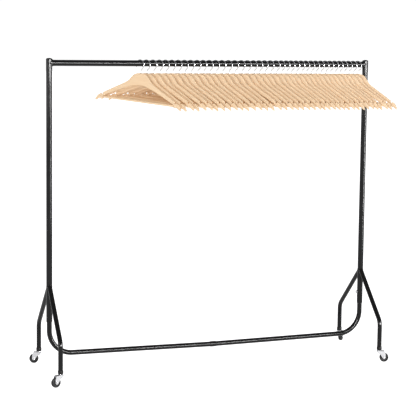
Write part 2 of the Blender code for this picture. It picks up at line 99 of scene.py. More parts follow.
@dataclass
class Surface:
    """A mesh in the making: points, faces, and the vectors that its grain follows.

    Args:
        points: an (n, 3) array.
        faces: lists of point numbers.
        grain: an (n, 3) array or None.
    """

    points: np.ndarray
    faces: list[list[int]]
    grain: np.ndarray | None = None

    @classmethod
    def grid(
        cls, rows: np.ndarray, wrap_rows: bool = False, wrap_columns: bool = True, caps: bool = False
    ) -> "Surface":
        """A surface over a grid of points.

        Args:
            rows: an (n, m, 3) array of points.
            wrap_rows: whether the last row joins the first.
            wrap_columns: whether the last column joins the first.
            caps: whether the first and the last row are each closed by one face.

        Returns:
            The surface.
        """
        count, across = rows.shape[:2]
        down = np.arange(count if wrap_rows else count - 1)
        along = np.arange(across if wrap_columns else across - 1)
        i, j = np.meshgrid(down, along, indexing="ij")
        k, l = (i + 1) % count, (j + 1) % across
        corners = np.stack([i * across + j, i * across + l, k * across + l, k * across + j], -1)
        faces = corners.reshape(-1, 4).tolist()
        if caps:
            first = np.arange(across)
            faces.append(first[::-1].tolist())
            faces.append((first + (count - 1) * across).tolist())
        return cls(rows.reshape(-1, 3), faces).outward()

    def outward(self) -> "Surface":
        """Returns the surface with its faces outward, told by the sign of its volume, sum p0 . (p1 x p2) / 6."""
        sixfold = 0.0
        centre = self.points.mean(0)
        for size in {len(face) for face in self.faces}:
            loops = self.points[np.array([face for face in self.faces if len(face) == size])] - centre
            fans = np.cross(loops[:, 1:-1], loops[:, 2:])
            sixfold += float((loops[:, :1] * fans).sum())
        if sixfold < 0:
            self.faces = [face[::-1] for face in self.faces]
        return self

    def moved(self, matrix: Matrix) -> "Surface":
        """Returns the surface taken through a 4 x 4 matrix, with its grain left as it is."""
        m = np.array(matrix)
        return Surface(self.points @ m[:3, :3].T + m[:3, 3], self.faces, self.grain)

    def with_grain(self, grain: np.ndarray) -> "Surface":
        """Returns the surface with those grain vectors."""
        return Surface(self.points, self.faces, grain)

    @staticmethod
    def joined(parts: "list[Surface]") -> "Surface":
        """Returns one surface that holds all the parts."""
        faces: list[list[int]] = []
        start = 0
        for part in parts:
            faces += [[corner + start for corner in face] for face in part.faces]
            start += len(part.points)
        grain = None
        if all(part.grain is not None for part in parts):
            grain = np.concatenate([part.grain for part in parts])
        return Surface(np.concatenate([part.points for part in parts]), faces, grain)


def filleted(corners: np.ndarray, radius: float, steps: int) -> np.ndarray:
    """Rounds the inner corners of a path.

    Each corner between unit directions a (back) and b (on), at half their angle h, becomes an arc of the radius about
    corner + radius / sin(h) along a + b, starting radius / tan(h) before the corner.

    Args:
        corners: an (n, 3) array.
        radius: the radius of the arcs.
        steps: the number of chords in each arc.

    Returns:
        The rounded path as an array of points.
    """
    path = [corners[:1]]
    share = np.linspace(0.0, 1.0, steps + 1)[:, None]
    for before, corner, after in zip(corners, corners[1:], corners[2:]):
        back = (before - corner) / np.linalg.norm(before - corner)
        onward = (after - corner) / np.linalg.norm(after - corner)
        half = math.acos(float(np.clip(back @ onward, -1, 1))) / 2
        bisector = (back + onward) / np.linalg.norm(back + onward)
        centre = corner + bisector * (radius / math.sin(half))
        first = corner + back * (radius / math.tan(half)) - centre
        last = corner + onward * (radius / math.tan(half)) - centre
        swing = math.pi - 2 * half
        arc = (first * np.sin((1 - share) * swing) + last * np.sin(share * swing)) / math.sin(swing)
        path.append(centre + arc)
    path.append(corners[-1:])
    return np.concatenate(path)


def rings(path: np.ndarray, radii: np.ndarray, across: np.ndarray, sides: int) -> np.ndarray:
    """Circles square to a path that lies in one plane.

    With T the path's direction, B the plane's normal and N = B x T, ring i is P + r (N cos a + B sin a).

    Args:
        path: an (n, 3) array in one plane.
        radii: the n radii.
        across: the plane's unit normal B.
        sides: the number of points in each ring.

    Returns:
        An (n, sides, 3) array.
    """
    tangent = np.gradient(path, axis=0)
    tangent /= np.linalg.norm(tangent, axis=1, keepdims=True)
    normal = np.cross(across, tangent)
    angle = np.linspace(0.0, 2 * math.pi, sides, endpoint=False)
    wheel = normal[:, None] * np.cos(angle)[None, :, None] + across[None, None] * np.sin(angle)[None, :, None]
    return path[:, None] + wheel * radii[:, None, None]


def resampled(path: np.ndarray, step: float) -> np.ndarray:
    """Returns a path with points added so that no two are further apart than the step."""
    parts = [
        np.linspace(a, b, max(2, int(np.linalg.norm(b - a) / step) + 1), endpoint=False)
        for a, b in zip(path, path[1:])
        if np.linalg.norm(b - a) > 1e-7
    ]
    return np.concatenate([*parts, path[-1:]])


def pipe(path: np.ndarray, radius: float, wall: float, across: np.ndarray, sides: int = 48) -> Surface:
    """A tube with an open bore and slightly rounded rims.

    Args:
        path: its centre line, in one plane.
        radius: its outer radius.
        wall: its wall's thickness.
        across: the unit normal of the path's plane.
        sides: the number of points round it.

    Returns:
        The closed surface, outside and bore.
    """
    ease = min(0.3 * wall, 0.4 * MM)
    outer = rings(path, np.full(len(path), radius), across, sides)
    inner = rings(path, np.full(len(path), radius - wall), across, sides)
    lips = []
    for row, centre, inward in ((outer[0], path[0], path[1] - path[0]), (outer[-1], path[-1], path[-2] - path[-1])):
        step = inward / np.linalg.norm(inward) * ease
        lips.append((row + step, centre + (row - centre) * (1 - ease / radius)))
    start_side, start_face = lips[0]
    end_side, end_face = lips[1]
    body = outer[1:-1]
    rows = np.concatenate(
        [start_face[None], start_side[None], body, end_side[None], end_face[None], inner[::-1]],
    )
    return Surface.grid(rows, wrap_rows=True)


def lathe(profile: np.ndarray, origin: np.ndarray, axis: np.ndarray, sides: int = 64) -> Surface:
    """A profile turned about an axis.

    Args:
        profile: an (n, 2) array of (radius, height along the axis) that starts and ends on the axis, or closes on
            itself. Ends on the axis are closed by a small flat face.
        origin: the place of height zero.
        axis: the unit axis.
        sides: the number of points round it.

    Returns:
        The closed surface.
    """
    helper = np.array([1.0, 0.0, 0.0]) if abs(axis[0]) < 0.9 else np.array([0.0, 1.0, 0.0])
    first = np.cross(axis, helper)
    first /= np.linalg.norm(first)
    second = np.cross(axis, first)
    angle = np.linspace(0.0, 2 * math.pi, sides, endpoint=False)
    spoke = first[None] * np.cos(angle)[:, None] + second[None] * np.sin(angle)[:, None]
    closed = bool(np.allclose(profile[0], profile[-1]))
    points = profile[:-1] if closed else profile[profile[:, 0] > 1e-9]
    rows = origin + spoke[None] * points[:, 0][:, None, None] + axis[None, None] * points[:, 1][:, None, None]
    return Surface.grid(rows, wrap_rows=closed, caps=not closed)


def eased(profile: list[tuple[float, float]], radius: float, steps: int = 3) -> np.ndarray:
    """Returns a (radius, height) profile with its corners rounded by up to the radius.

    Args:
        profile: the corner points. A profile whose last point is its first is closed, and its last corner stays sharp.
        radius: the largest radius of a corner. A short side takes a smaller one.
        steps: the number of chords in each rounding.
    """
    points = np.array(profile, float)
    out = [points[:1]]
    share = np.linspace(0.0, 1.0, steps + 1)[:, None]
    for before, corner, after in zip(points, points[1:], points[2:]):
        back, onward = before - corner, after - corner
        reach = min(radius, 0.45 * np.linalg.norm(back), 0.45 * np.linalg.norm(onward))
        start = corner + back / np.linalg.norm(back) * reach
        end = corner + onward / np.linalg.norm(onward) * reach
        out.append((1 - share) ** 2 * start + 2 * share * (1 - share) * corner + share**2 * end)
    out.append(points[-1:])
    return np.concatenate(out)


def piece(
    name: str, surface: Surface, finish: "Finish", body: str, replaces: tuple[str, ...] = ()
) -> bpy.types.Object:
    """Makes one finished piece of the object.

    Args:
        name: its name.
        surface: its points and faces, in place.
        finish: what it is made of.
        body: the CAD body that it moves with.
        replaces: the CAD nodes that it stands for.

    Returns:
        The new object.
    """
    mesh = bpy.data.meshes.new(name)
    mesh.from_pydata(surface.points, [], surface.faces)
    mesh.polygons.foreach_set("use_smooth", np.ones(len(mesh.polygons), bool))
    if surface.grain is not None:
        layer = mesh.attributes.new("grain", "FLOAT_VECTOR", "POINT")
        layer.data.foreach_set("vector", surface.grain.astype(np.float32).ravel())
    mesh.set_sharp_from_angle(angle=math.radians(38))
    mesh.validate()
    item = bpy.data.objects.new(name, mesh)
    bpy.context.scene.collection.objects.link(item)
    mesh.materials.append(finish.material())
    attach(item, body)
    if replaces:
        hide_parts(*replaces)
    LOG.info("%s: %d faces on %s", name, len(surface.faces), body)
    return item


# ------------------------------------------------------------------------------------------------------- finishes


@dataclass(frozen=True)
class Finish:
    """What a piece is made of.

    Args:
        name: the material's name.
        slot: the record's material slot; not used.
        colour: its linear base colour.
        roughness: its mean roughness.
        metallic: 1 for bare metal.
    """

    name: str
    slot: str
    colour: tuple[float, float, float]
    roughness: float
    metallic: float = 0.0

    def material(self) -> bpy.types.Material:
        """Returns the finish's material, made the first time it is asked for."""
        made = bpy.data.materials.get(self.name)
        if made is None:
            made = bpy.data.materials.new(self.name)
            made.use_nodes = True
            shader = made.node_tree.nodes["Principled BSDF"]
            shader.inputs["Base Color"].default_value = (*self.colour, 1.0)
            shader.inputs["Roughness"].default_value = self.roughness
            shader.inputs["Metallic"].default_value = self.metallic
            made.diffuse_color = (*self.colour, 1.0)
            self.dress(made.node_tree, shader)
        return made

    def dress(self, tree: bpy.types.NodeTree, shader: bpy.types.Node) -> None:
        """Adds what is particular to the finish. The plain one adds nothing.

        Args:
            tree: the material's nodes.
            shader: its Principled shader.
        """

    @staticmethod
    def noise(
        tree: bpy.types.NodeTree, scale: tuple[float, float, float], detail: float, source: str = "object"
    ) -> bpy.types.NodeSocket:
        """Noise over the piece's own coordinates.

        Args:
            tree: the material's nodes.
            scale: how many patches there are to a metre along each axis.
            detail: the number of finer layers.
            source: "object" for the piece's coordinates, "grain" for its grain attribute.

        Returns:
            The noise's value socket.
        """
        if source == "grain":
            coordinates = tree.nodes.new("ShaderNodeAttribute")
            coordinates.attribute_name = "grain"
            vector = coordinates.outputs["Vector"]
        else:
            coordinates = tree.nodes.new("ShaderNodeTexCoord")
            vector = coordinates.outputs["Object"]
        mapping = tree.nodes.new("ShaderNodeMapping")
        mapping.inputs["Scale"].default_value = scale
        texture = tree.nodes.new("ShaderNodeTexNoise")
        texture.inputs["Scale"].default_value = 1.0
        texture.inputs["Detail"].default_value = detail
        tree.links.new(vector, mapping.inputs["Vector"])
        tree.links.new(mapping.outputs["Vector"], texture.inputs["Vector"])
        return texture.outputs["Fac"]

    @staticmethod
    def ranged(
        tree: bpy.types.NodeTree, value: bpy.types.NodeSocket, low: float, high: float
    ) -> bpy.types.NodeSocket:
        """Returns the value stretched from 0.3..0.7 to low..high and held there."""
        node = tree.nodes.new("ShaderNodeMapRange")
        node.inputs["From Min"].default_value = 0.3
        node.inputs["From Max"].default_value = 0.7
        node.inputs["To Min"].default_value = low
        node.inputs["To Max"].default_value = high
        tree.links.new(value, node.inputs["Value"])
        return node.outputs["Result"]

    @staticmethod
    def bump(tree: bpy.types.NodeTree, shader: bpy.types.Node, height: bpy.types.NodeSocket, depth: float) -> None:
        """Raises the surface by height times depth metres."""
        node = tree.nodes.new("ShaderNodeBump")
        node.inputs["Strength"].default_value = 1.0
        node.inputs["Distance"].default_value = depth
        tree.links.new(height, node.inputs["Height"])
        tree.links.new(node.outputs["Normal"], shader.inputs["Normal"])


@dataclass(frozen=True)
class Coating(Finish):
    """Paint, plastic or rubber: a fine even texture and a slowly varying gloss.

    Args:
        gleam: its specular level.
        texture: how many grains of texture there are to a metre.
        relief: how high they stand, in metres.
        sheen_spread: how far the roughness wanders to either side.
    """

    gleam: float = 0.5
    texture: float = 900.0
    relief: float = 0.00004
    sheen_spread: float = 0.04

    def dress(self, tree: bpy.types.NodeTree, shader: bpy.types.Node) -> None:
        """Adds the texture and the wandering gloss."""
        shader.inputs["Specular IOR Level"].default_value = self.gleam
        wander = self.noise(tree, (9.0, 9.0, 9.0), 3.0)
        gloss = self.ranged(tree, wander, self.roughness - self.sheen_spread, self.roughness + self.sheen_spread)
        tree.links.new(gloss, shader.inputs["Roughness"])
        self.bump(tree, shader, self.noise(tree, (self.texture,) * 3, 2.0), self.relief)


@dataclass(frozen=True)
class Metal(Finish):
    """Bare plated metal: faint cloudiness in its colour and gloss.

    Args:
        cloud: how many cloud patches there are to a metre.
        spread: how far the roughness wanders to either side.
    """

    cloud: float = 120.0
    spread: float = 0.05

    def dress(self, tree: bpy.types.NodeTree, shader: bpy.types.Node) -> None:
        """Adds the cloudiness."""
        patches = self.noise(tree, (self.cloud,) * 3, 4.0)
        gloss = self.ranged(tree, patches, max(0.02, self.roughness - self.spread), self.roughness + self.spread)
        tree.links.new(gloss, shader.inputs["Roughness"])
        mix = tree.nodes.new("ShaderNodeMix")
        mix.data_type = "RGBA"
        mix.inputs["A"].default_value = (*[0.88 * c for c in self.colour], 1.0)
        mix.inputs["B"].default_value = (*self.colour, 1.0)
        tree.links.new(self.ranged(tree, patches, 0.0, 1.0), mix.inputs["Factor"])
        tree.links.new(mix.outputs["Result"], shader.inputs["Base Color"])


@dataclass(frozen=True)
class Wood(Finish):
    """Varnished wood whose fibres run along the grain attribute's first axis.

    Args:
        dark: the colour of the late wood.
        deep: the colour of the pores and of the few strong lines.
    """

    dark: tuple[float, float, float] = (0.85, 0.61, 0.38)
    deep: tuple[float, float, float] = (0.74, 0.49, 0.27)

    def dress(self, tree: bpy.types.NodeTree, shader: bpy.types.Node) -> None:
        """Adds broad figure, fine fibres and pores, and a thin coat of varnish."""
        figure = self.noise(tree, (3.5, 60.0, 60.0), 3.0, "grain")
        fibres = self.noise(tree, (14.0, 420.0, 420.0), 3.0, "grain")
        board = self.noise(tree, (0.9, 0.9, 0.9), 0.0, "grain")
        first = self.blend(tree, self.ranged(tree, figure, 0.0, 1.0), self.colour, self.dark)
        second = self.blend(tree, self.ranged(tree, fibres, -0.25, 0.55), first, self.deep)
        third = self.blend(tree, self.ranged(tree, board, -0.1, 0.30), second, (0.85, 0.60, 0.365))
        tree.links.new(third, shader.inputs["Base Color"])
        gloss = self.ranged(tree, fibres, self.roughness - 0.06, self.roughness + 0.08)
        tree.links.new(gloss, shader.inputs["Roughness"])
        self.bump(tree, shader, fibres, 0.00006)
        shader.inputs["Coat Weight"].default_value = 0.06
        shader.inputs["Coat Roughness"].default_value = 0.30
        shader.inputs["Specular IOR Level"].default_value = 0.30

    @staticmethod
    def blend(
        tree: bpy.types.NodeTree,
        factor: bpy.types.NodeSocket,
        near: "tuple[float, float, float] | bpy.types.NodeSocket",
        far: tuple[float, float, float],
    ) -> bpy.types.NodeSocket:
        """Returns a colour between near, at factor 0, and far, at factor 1."""
        mix = tree.nodes.new("ShaderNodeMix")
        mix.data_type = "RGBA"
        mix.clamp_factor = True
        tree.links.new(factor, mix.inputs["Factor"])
        if isinstance(near, tuple):
            mix.inputs["A"].default_value = (*near, 1.0)
        else:
            tree.links.new(near, mix.inputs["A"])
        mix.inputs["B"].default_value = (*far, 1.0)
        return mix.outputs["Result"]


class Look(Enum):
    """The finishes of the object."""

    COAT = Coating("powder_coat", "black_powder_coat", (0.0050, 0.0050, 0.0054), 0.13, gleam=0.24)
    ZINC = Metal("zinc_plate", "bright_zinc", (0.72, 0.72, 0.735), 0.20, 1.0)
    NYLON = Coating("moulded_nylon", "black_nylon", (0.009, 0.009, 0.0095), 0.40, 0.0, 0.22, 1400.0, 0.00002)
    TREAD = Coating("wheel_tread", "black_tread", (0.012, 0.012, 0.0125), 0.48, 0.0, 0.25, 1800.0, 0.00003)
    WOOD = Wood("varnished_wood", "pale_wood", (0.87, 0.66, 0.435), 0.42)
    CHROME = Metal("chrome_wire_plate", "chrome_wire", (0.80, 0.80, 0.81), 0.10, 1.0, 200.0, 0.03)


# ---------------------------------------------------------------------------------------------------------- frame


@dataclass
class TopRail:
    """The rail between the uprights and the flared welds at its ends.

    Args:
        wall: the tube's wall.
        flare: how far a weld stands out round the rail where it meets the upright.
        flare_length: how far a weld runs along the rail.
    """

    wall: float = 1.5 * MM
    flare: float = 3.0 * MM
    flare_length: float = 9.0 * MM

    def build(self) -> None:
        """Makes the rail and both welds."""
        rail = Extent.of("top_rail")
        radius = rail.size[2] / 2
        path = np.array([[rail.low[0], *rail.centre[1:]], [rail.high[0], *rail.centre[1:]]])
        tube = pipe(resampled(path, 0.06), radius, self.wall, np.array([0.0, 1.0, 0.0]), 64)
        piece("rail_tube", tube, Look.COAT.value, "frame", ("top_rail",))
        for side in SIDES:
            self.weld(side, radius, rail)

    def weld(self, side: str, radius: float, rail: Extent) -> None:
        """Makes the coped and flared end of the rail at one upright.

        The surface runs along X from the rail's end to the upright's side: at height z and depth y round the rail it
        ends at the distance sqrt(R^2 - y^2) from the upright's axis, and its radius grows by flare * t^2.

        Args:
            side: "left" or "right".
            radius: the rail's radius.
            rail: the rail's box.
        """
        post = Extent.of(side + "_upright")
        towards = 1.0 if side == "right" else -1.0
        start = rail.high[0] if side == "right" else rail.low[0]
        post_radius = post.size[0] / 2
        angle = np.linspace(0.0, 2 * math.pi, 96, endpoint=False)
        run = np.linspace(0.0, 1.0, 15)
        depth = radius * np.sin(angle)
        reach = np.sqrt(np.clip(post_radius**2 - depth**2, (2.2 * MM) ** 2, None))
        end = post.centre[0] - towards * reach
        along = start + (end - start)[None] * run[:, None]
        left = np.abs(end[None] - along)
        swell = self.flare * np.clip(1 - left / self.flare_length, 0, 1) ** 2
        spread = radius + 0.15 * MM + swell
        rows = np.stack(
            [
                along,
                rail.centre[1] + spread * np.sin(angle)[None],
                rail.centre[2] + spread * np.cos(angle)[None],
            ],
            -1,
        )
        if side == "left":
            rows = rows[::-1]
        surface = Surface.grid(rows[:, ::-1], caps=True)
        piece(side + "_rail_weld", surface, Look.COAT.value, "frame", (side + "_rail_collar",))


@dataclass
class Upright:
    """One upright with its end cap.

    Args:
        wall: the tube's wall.
        cap_rise: how far the cap's dome stands over its seat.
    """

    wall: float = 2.0 * MM
    cap_rise: float = 7.0 * MM

    def build(self, side: str) -> None:
        """Makes the tube and the cap of one side."""
        post = Extent.of(side + "_upright")
        radius = post.size[0] / 2
        middle = post.centre
        path = np.array([[middle[0], middle[1], post.low[2]], [middle[0], middle[1], post.high[2]]])
        tube = pipe(resampled(path, 0.06), radius, self.wall, np.array([1.0, 0.0, 0.0]), 64)
        piece(side + "_upright_tube", tube, Look.COAT.value, "frame", (side + "_upright",))

        cap = Extent.of(side + "_upright_cap")
        rim = cap.size[0] / 2
        turn = np.radians(np.linspace(90, 8, 14))
        dome = [(rim * math.cos(a), self.cap_rise * math.sin(a)) for a in turn]
        plug = radius - self.wall - 0.4 * MM
        under = [(rim, 0.0), (plug, 0.0), (plug, cap.low[2] - cap.high[2] + self.cap_rise + 1 * MM)]
        base = cap.high[2] - self.cap_rise
        foot = [(plug - 1.0 * MM, cap.low[2] - base), (0.0, cap.low[2] - base)]
        profile = np.array([(0.0, self.cap_rise), *dome[1:], *under, *foot])
        origin = np.array([middle[0], middle[1], base])
        piece(side + "_cap", lathe(profile, origin, UP), Look.NYLON.value, "frame", (side + "_upright_cap",))


@dataclass
class Leg:
    """One bent leg, its coped end and the weld round it.

    Args:
        wall: the tube's wall.
        bend: the radius of its bend.
        meet: the height at which its slanted axis meets the upright's axis.
        corner: the height at which its slanted and its upright axis meet.
        bead: the weld bead's radius.
        sides: the number of points round the tube.
    """

    wall: float = 1.5 * MM
    bend: float = 0.065
    meet: float = 0.4779
    corner: float = 0.2237
    bead: float = 2.0 * MM
    sides: int = 56

    def build(self, corner: str) -> None:
        """Makes the leg and the weld of one corner."""
        side, end = corner.split("_")
        sign = -1.0 if end == "front" else 1.0
        box = Extent.of(corner + "_leg")
        post = Extent.of(side + "_upright")
        radius = box.size[0] / 2
        far = box.low[1] + radius if sign < 0 else box.high[1] - radius
        x, y = post.centre[0], post.centre[1]
        corners = np.array([[x, y, self.meet], [x, far, self.corner], [x, far, box.low[2]]])
        path = resampled(filleted(corners, self.bend, 20), 0.02)
        slant = (path[1] - path[0]) / np.linalg.norm(path[1] - path[0])
        path = path[np.abs(path[:, 1] - y) > 0.062]
        across = np.array([1.0, 0.0, 0.0])
        hold = post.size[0] / 2 + 0.1 * MM
        surfaces = []
        for reach in (radius, radius - self.wall):
            tube = rings(path, np.full(len(path), reach), across, self.sides)
            tube[0] = self.coped(tube[1], slant, x, y, hold, sign)
            surfaces.append(tube)
        outer, inner = surfaces
        piece(
            corner + "_leg_tube",
            Surface.grid(np.concatenate([outer, inner[::-1]]), wrap_rows=True),
            Look.COAT.value,
            "frame",
            (corner + "_leg",),
        )
        self.weld(corner, outer[0], slant, x, y, sign)

    def coped(
        self, ring: np.ndarray, slant: np.ndarray, x: float, y: float, hold: float, sign: float
    ) -> np.ndarray:
        """Slides each point of a ring along the leg's slant to the upright's side.

        A point p moves to p + t slant with t = (y + sign sqrt(hold^2 - (p.x - x)^2) - p.y) / slant.y.

        Args:
            ring: the points.
            slant: the unit direction of the slanted length.
            x: the upright's place along the rail.
            y: the upright's depth.
            hold: the radius at which the points stop.
            sign: -1 at the front, 1 at the back.

        Returns:
            The moved points.
        """
        stop = y + sign * np.sqrt(hold**2 - (ring[:, 0] - x) ** 2)
        return ring + slant * ((stop - ring[:, 1]) / slant[1])[:, None]

    def weld(self, corner: str, seam: np.ndarray, slant: np.ndarray, x: float, y: float, sign: float) -> None:
        """Makes the rippled bead that runs round the coped end.

        Round each point of the seam the bead's section is a circle in the plane of the upright's outward direction and
        of the leg's, with the radius r (1 + 0.12 sin(48 a)) at the angle a round the leg.

        Args:
            corner: the corner's name.
            seam: the points of the coped end.
            slant: the unit direction of the slanted length.
            x: the upright's place along the rail.
            y: the upright's depth.
            sign: -1 at the front, 1 at the back.
        """
        turn = np.arange(0, 2 * self.sides) / 2
        whole = np.arange(self.sides + 1)
        closed = np.concatenate([seam, seam[:1]])
        fine = np.stack([np.interp(turn, whole, closed[:, axis]) for axis in range(3)], -1)
        outward = fine - np.array([x, y, 0.0])
        outward[:, 2] = 0.0
        outward /= np.linalg.norm(outward, axis=1, keepdims=True)
        along = np.roll(fine, -1, axis=0) - np.roll(fine, 1, axis=0)
        along /= np.linalg.norm(along, axis=1, keepdims=True)
        aside = np.cross(along, outward)
        ripple = self.bead * (1 + 0.12 * np.sin(2 * math.pi * turn / self.sides * 24))
        angle = np.linspace(0.0, 2 * math.pi, 12, endpoint=False)
        circle = (
            outward[:, None] * np.cos(angle)[None, :, None] + aside[:, None] * np.sin(angle)[None, :, None]
        )
        rows = fine[:, None] + circle * ripple[:, None, None]
        piece(corner + "_leg_weld", Surface.grid(rows, wrap_rows=True), Look.COAT.value, "frame")


@dataclass
class BaseRail:
    """The low rail in two halves, the sleeve over their joint, and the lock bolts.

    Args:
        wall: the tubes' wall.
        bend: the radius of the bend up into an upright.
        sleeve_wall: the thickness of the sleeve.
    """

    wall: float = 1.5 * MM
    bend: float = 0.125
    sleeve_wall: float = 1.3 * MM

    def build(self) -> None:
        """Makes both halves, the sleeve and the bolts."""
        heights = []
        for side in SIDES:
            box = Extent.of(side + "_base_rail")
            radius = box.size[1] / 2
            towards = 1.0 if side == "right" else -1.0
            post = Extent.of(side + "_upright")
            inner = box.low[0] if side == "right" else box.high[0]
            middle = (Extent.of("left_upright").centre[0] + Extent.of("right_upright").centre[0]) / 2
            low = box.low[2] + radius
            high = low + 8.5 * MM
            y = box.centre[1]
            corners = np.array([[inner, y, low], [post.centre[0], y, high], [post.centre[0], y, box.high[2]]])
            path = resampled(filleted(corners, self.bend, 28), 0.03)
            tube = pipe(path, radius, self.wall, np.array([0.0, 1.0, 0.0]), 56)
            piece(side + "_base_tube", tube, Look.COAT.value, "frame", (side + "_base_rail",))
            heights.append((towards, middle, y, low, radius, post.centre[0]))
            LockBolt().build(side)
        self.sleeve(*heights[1])

    def sleeve(self, towards: float, middle: float, y: float, low: float, radius: float, post: float) -> None:
        """Makes the sleeve over the start of the right half.

        Args:
            towards: 1 for the right half.
            middle: the joint's place along the rail.
            y: the rail's depth.
            low: the height of the rail's axis at the joint.
            radius: the rail's radius.
            post: the upright's place.
        """
        slope = math.atan2(8.5 * MM, abs(post - middle))
        axis = np.array([towards * math.cos(slope), 0.0, math.sin(slope)])
        outer = radius + 0.4 * MM + self.sleeve_wall
        inner = radius + 0.15 * MM
        corners = [
            (inner, 30 * MM),
            (outer - 0.2 * MM, 30 * MM),
            (outer, 26 * MM),
            (outer, 1 * MM),
            (outer - 0.3 * MM, -1.6 * MM),
            (inner - 3 * MM, -1.6 * MM),
            (inner - 3 * MM, 1.0 * MM),
            (inner, 1.6 * MM),
            (inner, 30 * MM),
        ]
        ring = lathe(eased(corners, 0.5 * MM), np.array([middle, y, low]), axis, 72)
        piece("base_joint_ring", ring, Look.COAT.value, "frame", ("base_joint_sleeve",))


@dataclass
class LockBolt:
    """A hexagon-headed bolt that locks the base rail in an upright.

    Args:
        flats: the distance from the bolt's axis to a corner of its head.
        head: the head's length.
        washer: the washer face's radius.
        washer_thick: the washer's thickness.
        shank: the shank's radius.
        crown: how far under its top the head begins to narrow.
        crown_step: how much the crown rises for one unit of its levels.
        sides: the number of points around.
    """

    flats: float = 9.0 * MM
    head: float = 8.0 * MM
    washer: float = 7.8 * MM
    washer_thick: float = 0.6 * MM
    shank: float = 4.0 * MM
    crown: float = 1.6 * MM
    crown_step: float = 1.14 * MM
    sides: int = 96

    def build(self, side: str) -> None:
        """Makes the bolt of one side.

        The head's section is a hexagon: its radius at the angle a is c cos(30) / cos((a mod 60) - 30), held under a
        chamfer that shrinks towards the head's top.
        """
        box = Extent.of(side + "_lock_bolt")
        towards = -1.0 if side == "right" else 1.0
        tip = box.high[0] if side == "right" else box.low[0]
        top = box.low[0] if side == "right" else box.high[0]
        length = abs(top - tip)
        angle = np.linspace(0.0, 2 * math.pi, self.sides, endpoint=False)
        hexagon = self.flats * math.cos(math.pi / 6) / np.cos(np.mod(angle, math.pi / 3) - math.pi / 6)
        shoulder = length - self.head
        rim = length - self.crown
        stations = [
            (self.shank, 0.0),
            (self.shank, shoulder - self.washer_thick),
            (self.washer, shoulder - self.washer_thick),
            (self.washer, shoulder),
            (hexagon * 0.99, shoulder),
            (hexagon, shoulder + 0.15 * MM),
            (hexagon, rim),
        ]
        for level in (0.15, 0.4, 0.8, 1.2, 1.4):
            stations.append((np.minimum(hexagon, self.flats * (1.0 - 0.10 * level)), rim + level * self.crown_step))
        stations.append((self.flats * 0.55, length))
        spread = np.array([np.broadcast_to(radius, angle.shape) for radius, _ in stations])
        places = [place for _, place in stations]
        grid = np.stack(
            [
                tip + towards * np.array(places)[:, None] * np.ones(self.sides)[None],
                box.centre[1] + spread * np.cos(angle)[None],
                box.centre[2] + spread * np.sin(angle)[None],
            ],
            -1,
        )
        if side == "right":
            grid = grid[:, ::-1]
        surface = Surface.grid(grid[:, ::-1], caps=True)
        name = side + "_lock_bolt"
        piece(side + "_bolt", surface, Look.ZINC.value, name, (name,))


# -------------------------------------------------------------------------------------------------------- casters


